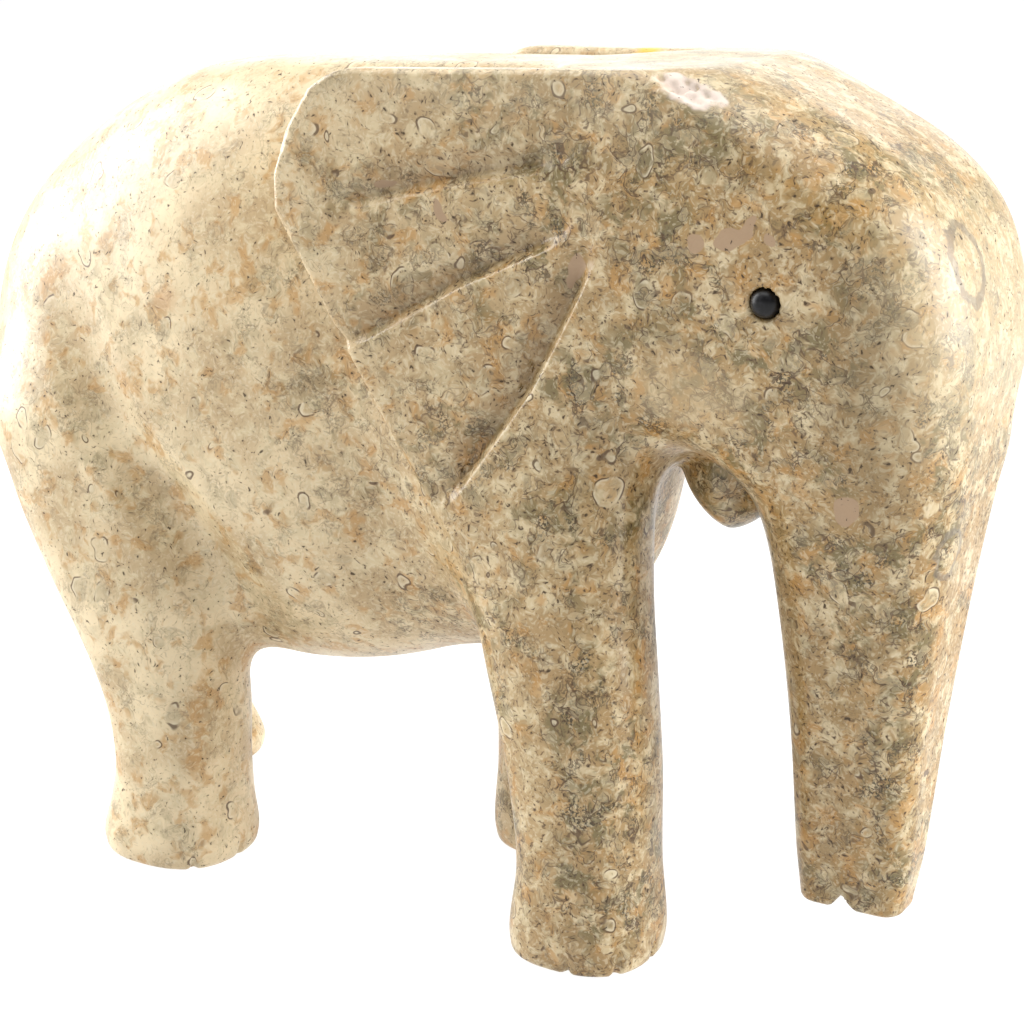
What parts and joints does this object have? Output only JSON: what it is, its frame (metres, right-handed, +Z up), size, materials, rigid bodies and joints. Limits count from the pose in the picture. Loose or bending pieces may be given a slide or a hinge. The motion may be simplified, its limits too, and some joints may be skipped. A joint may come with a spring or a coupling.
{
  "type": "elephant figurine",
  "caption": "Standing elephant figurine carved from solid fossil limestone, with a flat-cut top, grooved ears, hanging trunk and inlaid black eye beads.",
  "frame": {"origin": "centre of the bounding box at the level of the soles", "axes": "+X towards the head, the way the elephant walks; +Y its left side; +Z up"},
  "size_m": [0.2432, 0.0828, 0.18],
  "materials": {
    "fossil_limestone": "polished fossil limestone",
    "black_bead": "glossy black bead"
  },
  "bodies": {
    "root": {"stone_elephant": "fossil_limestone", "right_eye": "black_bead", "left_eye": "black_bead"}
  },
  "joints": []
}
